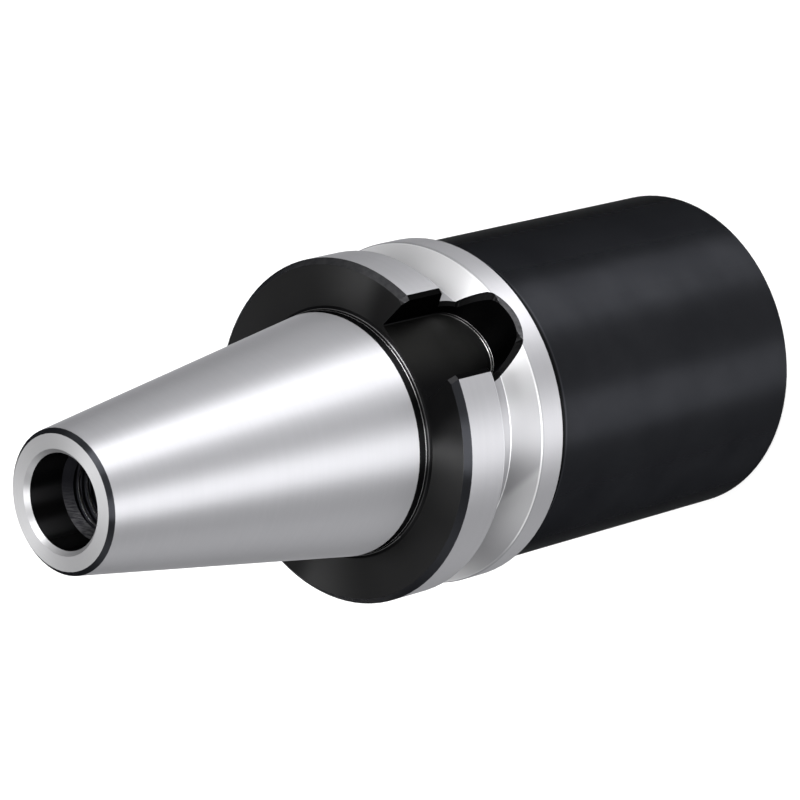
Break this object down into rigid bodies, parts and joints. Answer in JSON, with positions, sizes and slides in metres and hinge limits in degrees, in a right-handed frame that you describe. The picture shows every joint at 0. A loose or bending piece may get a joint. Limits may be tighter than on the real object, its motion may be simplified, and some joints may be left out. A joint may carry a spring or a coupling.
{
  "type": "u-drill holder",
  "caption": "Steep-taper tool holder with a V-grooved flange, drive slots and a long plain nose whose bore locks a drill shank with side set screws.",
  "frame": {"origin": "centre of the nose face, which the holder stands on", "axes": "+Z along the axis towards the taper's small end, +X through the middle of one drive slot, clamp screws on -X"},
  "size_m": [0.063, 0.063, 0.1584],
  "materials": {
    "holder_steel": "black oxide with a ground taper and ground flange rims",
    "screw_steel": "black oxide"
  },
  "bodies": {
    "holder": {"holder_body": "holder_steel"},
    "front_screw": {"front_clamp_screw": "screw_steel"},
    "rear_screw": {"rear_clamp_screw": "screw_steel"}
  },
  "joints": [
    {"name": "front_screw_travel", "type": "slide", "parent": "holder", "child": "front_screw", "axis": [1, 0, 0], "range_m": [-0.0015, 0.0025]},
    {"name": "rear_screw_travel", "type": "slide", "parent": "holder", "child": "rear_screw", "axis": [1, 0, 0], "range_m": [-0.0015, 0.0025]}
  ]
}
